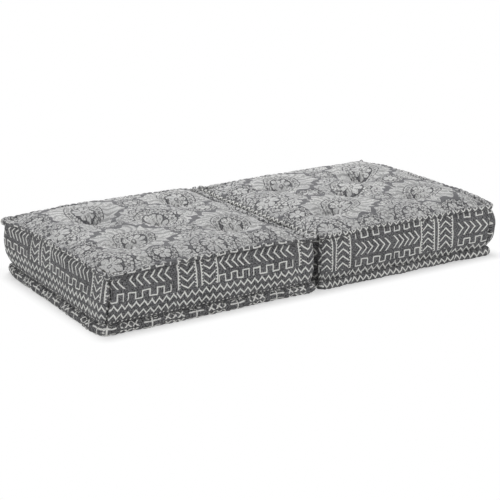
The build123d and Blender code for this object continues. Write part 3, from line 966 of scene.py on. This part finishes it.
def crownHeight(side, x, y):
    sizeOf = sizes[side]
    seed = 3 if side == "left" else 5
    u, v = np.clip(np.abs(x) / crown["reach"], 0, 1), np.clip(np.abs(y) / crown["reach"], 0, 1)
    rise = sizeOf["crownTop"] - 6.5 * mm - crown["edgeLevel"]
    body = ((1 - u ** 7) * (1 - v ** 7)) ** 0.75
    z = crown["edgeLevel"] + rise * body
    z = z + body * (6.5 * mm * fieldNoise(x, y, 95 * mm, seed) + 2.8 * mm * fieldNoise(x, y, 42 * mm, seed + 1))
    for k, (tuftX, tuftY) in enumerate(tuftSpots[side]):
        away = np.hypot(x - tuftX, y - tuftY)
        turn = np.arctan2(y - tuftY, x - tuftX)
        folds = 7 + (k * 3 + seed) % 3
        pleat = np.sin(folds * turn + k * 1.7) + 0.5 * np.sin((folds + 4) * turn + k * 2.9)
        z = z - crown["tuftDepth"] * np.exp(-np.hypot((x - tuftX) / 2, y - tuftY) / crown["tuftReach"])
        fold = y - tuftY - 0.12 * np.sin(k * 2.1 + seed) * (x - tuftX)
        z = z - crown["creaseDepth"] * bell(fold, 9 * mm) * bell(x - tuftX, 75 * mm)
        z = z + crown["bulge"] * bell(fold + 24 * mm, 14 * mm) * bell(x - tuftX, 85 * mm)
        # each hollow is steep behind its tuft and gentle before it, as the ties lean back
        reachY = np.where(y > tuftY, crown["behindReach"], crown["beforeReach"])
        hollow = bell(x - tuftX, crown["hollowReach"]) * bell(y - tuftY, reachY)
        z = z - shape["tuftWander"][side][k][2] * crown["hollowDepth"] * hollow
        z = z + crown["pleat"] * pleat * bell(away - 27 * mm, 20 * mm)
    for lift, toward, along in zip(shape["topEdge"][side], (-y, x, y, -x), (x, y, x, y)):
        flat = 1 - np.clip(np.abs(along) / crown["reach"], 0, 1) ** 5
        z = z + lift * flat * bell(crown["reach"] - toward, crown["edgeReach"])
    edge = crown["reach"] - np.maximum(np.abs(x), np.abs(y))
    along = np.where(np.abs(x) > np.abs(y), y, x)
    pleat = np.cos(2 * math.pi * along / shape["stitchPitch"] + 3 * fieldNoise(x, y, 60 * mm, seed + 2))
    z = z - crown["edgePleat"] * (1 + pleat) * bell(edge, 13 * mm)
    return np.maximum(z, foamTop(side, x, y) + 4 * mm)


def makeCrown(side):
    count = round(2 * crown["reach"] / crown["step"]) + 1
    line = np.linspace(-crown["reach"], crown["reach"], count)
    x, y = np.meshgrid(line, line, indexing="ij")
    # the corners of the cloth are rounded into the rolls
    squash = 1 - 0.028 * (np.abs(x / crown["reach"]) ** 6) * (np.abs(y / crown["reach"]) ** 6)
    x, y = x * squash, y * squash
    points = placed(side, np.stack([x, y, crownHeight(side, x, y)], axis=-1))
    piece = gridMesh(f"{side}_tufted_top", points, {"damaskCloth": damaskUv(side, x, y)})
    settleCloth(piece, side)
    return dress(piece, side, "damask_cloth", [f"{side}_top_panel"], damaskCotton)


settling = {"quality": 5, "mass": 0.3, "tension_stiffness": 18, "compression_stiffness": 12,
            "shear_stiffness": 6, "bending_stiffness": 0.4, "shrink_min": -0.025, "shrink_max": -0.025,
            "use_pressure": True, "uniform_pressure_force": 0.9, "vertex_group_mass": "sewn"}
settledBy = {"sewnEdge": 9 * mm, "frames": 21, "most": 7 * mm, "tieReach": 48 * mm, "tieHold": 0.85}


def settleCloth(piece, side):
    # the cloth is blown gently from below between its sewn edge and its tufts, so it creases as cloth does
    mesh = piece.data
    rest = np.array([v.co for v in mesh.vertices])
    local = rest - sizes[side]["centre"]
    away = tuftAway(side, local[:, 0], local[:, 1])
    fromMiddle = np.maximum(np.abs(local[:, 0]), np.abs(local[:, 1]))
    pinned = (fromMiddle > crown["reach"] - settledBy["sewnEdge"]) | (away < settledBy["sewnEdge"])
    group = piece.vertex_groups.new(name="sewn")
    group.add(np.flatnonzero(pinned).tolist(), 1.0, "REPLACE")
    modifier = piece.modifiers.new("Cloth", "CLOTH")
    for name, value in settling.items():
        setattr(modifier.settings, name, value)
    modifier.settings.effector_weights.gravity = 0
    modifier.collision_settings.use_collision = False
    modifier.point_cache.frame_start, modifier.point_cache.frame_end = 1, 30
    for number in range(1, settledBy["frames"] + 1):
        bpy.context.scene.frame_set(number)
    settled = piece.evaluated_get(bpy.context.evaluated_depsgraph_get())
    found = np.array([v.co for v in settled.data.vertices])
    piece.modifiers.remove(modifier)
    bpy.context.scene.frame_set(1)
    move = found - rest
    length = np.linalg.norm(move, axis=1, keepdims=True)
    move *= np.minimum(1, settledBy["most"] / np.maximum(length, 1e-9))
    move *= 1 - settledBy["tieHold"] * bell(away, settledBy["tieReach"])[:, None]
    final = rest + move
    # pressed flat where it would pass the line that the seat folds on
    over = final[:, 2] - (sizes[side]["crownTop"] - 2 * mm)
    final[:, 2] -= np.where(over > 0, over - 2 * mm * np.tanh(over / (2 * mm)), 0)
    mesh.vertices.foreach_set("co", final.ravel())
    mesh.update()
    print(side, "crown settled, largest move", round(float(length.max()) * 1000, 1), "mm")


# Underneath: the bottom cloth, drawn up a little at the ties

under = {"reach": 283 * mm, "hollow": 7 * mm, "hollowReach": 16 * mm, "level": 0.4 * mm,
         "pleat": 0.5 * mm, "edgeRise": 5 * mm}


def makeUnderside(side):
    line = np.linspace(-under["reach"], under["reach"], 91)
    y, x = np.meshgrid(line, line, indexing="ij")
    z = under["level"] + 0.6 * mm * (1 + fieldNoise(x, y, 60 * mm, 20))
    for tuftX, tuftY in tuftSpots[side]:
        away = np.hypot(x - tuftX, y - tuftY)
        turn = np.arctan2(y - tuftY, x - tuftX)
        z = z + under["hollow"] * bell(away, under["hollowReach"])
        z = z + under["pleat"] * (1 + np.sin(8 * turn)) * bell(away - 18 * mm, 12 * mm)
    edge = under["reach"] - np.maximum(np.abs(x), np.abs(y))
    z = z + under["edgeRise"] * bell(edge, 5 * mm)
    points = placed(side, np.stack([x, y, z], axis=-1))
    piece = gridMesh(f"{side}_underside_cloth", points,
                     {"mudCloth": mudUv(side, x, y), "damaskCloth": damaskUv(side, x, y)})
    return dress(piece, side, "mudcloth", [f"{side}_bottom_panel"], mudclothCotton)


# Fillings: foam block, waddings and the ties through them

def closedSlab(name, x, y, low, high):
    # a solid between two height fields over one grid, closed round its edge
    rows, columns = x.shape
    lower, upper = (np.stack([x, y, z + 0 * x], axis=-1).reshape(-1, 3) for z in (low, high))
    count = rows * columns
    faces = []
    for a in range(rows - 1):
        for b in range(columns - 1):
            k = a * columns + b
            quad = (k, k + columns, k + columns + 1, k + 1)
            faces += [tuple(reversed(quad)), tuple(q + count for q in quad)]
    rim = [(0, b) for b in range(columns)] + [(a, columns - 1) for a in range(1, rows)]
    rim += [(rows - 1, b) for b in range(columns - 2, -1, -1)] + [(a, 0) for a in range(rows - 2, 0, -1)]
    rim = [a * columns + b for a, b in rim]
    faces += [(p, q, q + count, p + count) for p, q in zip(rim, rim[1:] + rim[:1])]
    return joined(name, [(np.concatenate([lower, upper]), faces)])


# each filling's node, its name here and half its side
fillings = {"top_wadding": ("wadding_crown", 270 * mm), "bottom_wadding": ("wadding_base", 262 * mm),
            "foam_core": ("foam_block", 268 * mm)}
wrap = {"inward": 4 * mm, "back": 29.4 * mm, "height": 0.97}  # the height is a share of the band's


def makeFillings(side):
    centre = sizes[side]["centre"]
    for nodeName, (name, reach) in fillings.items():
        line = np.linspace(-reach, reach, 61)
        x, y = np.meshgrid(line, line, indexing="ij")
        rounding = 1 - 0.02 * np.abs(x / reach) ** 8 * np.abs(y / reach) ** 8
        x, y = x * rounding, y * rounding
        lowest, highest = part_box(f"{side}_{nodeName}")
        if nodeName == "top_wadding":
            low = foamTop(side, x, y) + 0.3 * mm
            high = np.maximum(crownHeight(side, x, y) - 6 * mm, low + 2 * mm)
        elif nodeName == "bottom_wadding":
            low = (3.2 + fieldNoise(x, y, 50 * mm, 30)) * mm + 6 * mm * bell(tuftAway(side, x, y), 18 * mm)
            high = highest.z + 0 * x
        else:
            chamfer = 5 * mm * (np.maximum(np.abs(x), np.abs(y)) / reach) ** 24
            low = lowest.z + chamfer
            high = foamTop(side, x, y) - chamfer
        piece = closedSlab(f"{side}_{name}", x + centre[0], y + centre[1], low, high)
        foam = nodeName == "foam_core"
        dress(piece, side, "foam" if foam else "wadding", [f"{side}_{nodeName}"],
              foamCells if foam else cardedCotton)


def makeWaddingWrap(side):
    around = roundSteps(band["step"])[:-1, None]
    share = np.linspace(-wrap["height"], wrap["height"], 25)
    outer = bandSurface(side, around, share[None, :], wrap["inward"])
    inner = insetPoints(around, wrap["back"], outer[:, ::-1, 2]) + sizes[side]["centre"]
    piece = gridMesh(f"{side}_wadding_wrap", np.concatenate([outer, inner], axis=1), {},
                     closedAlong=True, closedAcross=True)
    dress(piece, side, "wadding", [f"{side}_side_wadding"], cardedCotton)


ties = {"base": 8.5 * mm, "strandRadius": 0.8 * mm, "strandShift": 0.9 * mm, "loopRadius": 0.95 * mm,
        "topLoop": 4.2 * mm, "baseLoop": 2.6 * mm, "tailLength": 11 * mm}


def makeTies(side):
    # flat twine down through the cushion, knotted above and below
    centre = sizes[side]["centre"]
    random = np.random.default_rng(11 if side == "left" else 12)
    parts = []
    for tuftX, tuftY in tuftSpots[side]:
        top = float(crownHeight(side, np.array([[tuftX]]), np.array([[tuftY]]))[0, 0])
        for shift in (-ties["strandShift"], ties["strandShift"]):
            path = [(tuftX + shift, tuftY, z) for z in np.linspace(ties["base"], top + 0.5 * mm, 12)]
            parts.append(tubeAlong(np.array(path) + centre, np.full(12, ties["strandRadius"])))
        for level, size in ((top + 1.6 * mm, ties["topLoop"]), (ties["base"] - 1.5 * mm, ties["baseLoop"])):
            above = level > 50 * mm
            for loop in range(3):
                tilt = random.uniform(0, math.pi)
                turn = np.linspace(0, 2 * math.pi, 19)[:-1]
                ring = np.stack([size * np.cos(turn), size * 0.75 * np.sin(turn),
                                 0.9 * mm * np.sin(2 * turn + loop)], axis=-1)
                ring = ring @ np.array([[math.cos(tilt), math.sin(tilt), 0],
                                        [-math.sin(tilt), math.cos(tilt), 0], [0, 0, 1]])
                parts.append(tubeAlong(ring + [tuftX, tuftY, level] + centre, np.full(18, ties["loopRadius"])))
            for k in range(2):
                turn = random.uniform(0, 2 * math.pi)
                share = np.linspace(0, 1, 7)
                run = share * ties["tailLength"]
                rise = 0.6 * mm + 9 * mm * share ** 1.3 if above else np.full(7, -0.4 * mm)
                tail = np.stack([tuftX + run * np.cos(turn + run * 40), tuftY + run * np.sin(turn + run * 40),
                                 level + rise], axis=-1)
                parts.append(tubeAlong(tail + centre, np.linspace(0.9, 0.5, 7) * mm))
    piece = joined(f"{side}_tufting_ties", parts)
    return dress(piece, side, "twine", [f"{side}_tuft_ties"], twineWithPaintedShade)


# Hinge: the strip of cloth sewn between the two top rolls, folded down between them

hingeLow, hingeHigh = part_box("hinge_strip")
hinge = {"halfGap": 1.3 * mm, "top": hingeHigh.z, "bottom": hingeLow.z, "halfLength": 255 * mm}


def makeHinge():
    along = np.linspace(-hinge["halfLength"], hinge["halfLength"], 171)
    turn = np.linspace(-1, 1, 15)
    depth = hinge["top"] - hinge["bottom"]
    x = hinge["halfGap"] * np.sign(turn) * np.abs(turn) ** 0.35
    z = hinge["top"] - depth * (1 - np.abs(turn) ** 1.6)
    pucker = 0.5 * mm * np.sin(2 * math.pi * along / shape["stitchPitch"])
    points = np.stack(np.broadcast_arrays(x[None, :], along[:, None], z[None, :] + pucker[:, None]), axis=-1)
    cloth = np.broadcast_to(turn[None, :] * depth, points.shape[:2])
    piece = gridMesh("hinge_cloth", points, {"mudCloth": np.stack(
        [np.broadcast_to(along[:, None], cloth.shape), cloth], axis=-1)})
    piece.data.materials.append(mudclothCotton)
    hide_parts("hinge_strip")
    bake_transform(piece)
    return piece


for side in sizes:
    makeBand(side)
    for which in rolls:
        makeRoll(side, which)
        makeEars(side, which)
        makeStitches(side, which)
    makeCrown(side)
    makeUnderside(side)
    makeFillings(side)
    makeWaddingWrap(side)
    makeTies(side)
    print(side, "cushion made")
makeHinge()


# Studio: pale floor, soft light from above, and the camera

studio = {
    "azimuth": -32.925,
    "elevation": 17.044,
    "lens": 100.3,
    "distance": 3.553,
    "target": Vector((-0.144, -0.211, 0.115)),
    "shadowShare": 0.65,  # how much of the floor's look comes from the light that reaches it
    "shadowFade": 0.05,  # m beyond the seat, until the floor is plain white
    "ambient": 0.36,
    # each light's place, size and watts
    "lights": {"overhead softbox": ((0.3, 1.6, 2.1), 1.4, 40), "left softbox": ((-2.9, -0.7, 1.5), 1.8, 14),
               "front softbox": ((1.1, -2.9, 1.4), 1.8, 19)},
}


def seenShare(node):
    # 1 for what the camera sees itself, through a mirror or through glass, 0 for what only lights
    path = node("LightPath")
    return node("MINIMUM", node("ADD", node("ADD", path, path.node.outputs[3]), path.node.outputs[6]), 1)


def makeStudio():
    scene = bpy.context.scene
    points = [(-9, -9, 0), (9, -9, 0), (9, 9, 0), (-9, 9, 0)]
    floor = joined("studio_floor", [(points, [(0, 1, 2, 3)])])
    material, tree, _, node = newMaterial("whitePaperFloor")
    diffuse = node("BsdfDiffuse", linearColour("#F4F4F4"))
    glow = node("Emission", linearColour("#FFFFFF"), 1.35)
    plain = node("Emission", linearColour("#FFFFFF"), 1.0)
    near = node("MixShader", 1 - studio["shadowShare"], diffuse, glow)
    # the shadow fades out into plain white away from the seat
    spot = node("SeparateXYZ", node("VectorMath", node("TexCoord").node.outputs[3], operation="ABSOLUTE"))
    awayX = node("MAXIMUM", node("SUBTRACT", spot, cadHigh.x), 0)
    awayY = node("MAXIMUM", node("SUBTRACT", spot.node.outputs[1], cadHigh.y), 0)
    away = polarPlace(node, awayX, awayY)[0]
    fade = node("MapRange", away, 0.0, studio["shadowFade"], 0, 1, interpolation_type="SMOOTHSTEP")
    mixed = node("MixShader", seenShare(node), diffuse, node("MixShader", fade, near, plain))
    tree.links.new(mixed, tree.nodes["Material Output"].inputs[0])
    floor.data.materials.append(material)
    world = bpy.data.worlds.new("studioLight")
    world.use_nodes = True
    scene.world = world
    node = partial(addNode, world.node_tree)
    ambient = node("Background", linearColour("#FFFFFF"), studio["ambient"])
    white = node("Background", linearColour("#FFFFFF"), 1.0)
    world.node_tree.links.new(node("MixShader", seenShare(node), ambient, white),
                              world.node_tree.nodes["World Output"].inputs[0])
    for name, (place, size, power) in studio["lights"].items():
        lamp = bpy.data.lights.new(name, "AREA")
        lamp.shape = "SQUARE"
        lamp.size = size
        lamp.energy = power
        light = bpy.data.objects.new(name, lamp)
        light.location = place
        light.rotation_euler = (Vector((0, 0, 0.1)) - Vector(place)).to_track_quat("-Z", "Y").to_euler()
        scene.collection.objects.link(light)
    azimuth, elevation = math.radians(studio["azimuth"]), math.radians(studio["elevation"])
    back = Vector((math.sin(azimuth) * math.cos(elevation), -math.cos(azimuth) * math.cos(elevation),
                   math.sin(elevation)))
    lens = bpy.data.cameras.new("studioCamera")
    lens.lens = studio["lens"]
    camera = bpy.data.objects.new("studioCamera", lens)
    camera.location = studio["target"] + back * studio["distance"]
    camera.rotation_euler = (-back).to_track_quat("-Z", "Y").to_euler()
    scene.collection.objects.link(camera)
    scene.camera = camera
    scene.view_settings.view_transform = "Standard"


makeStudio()
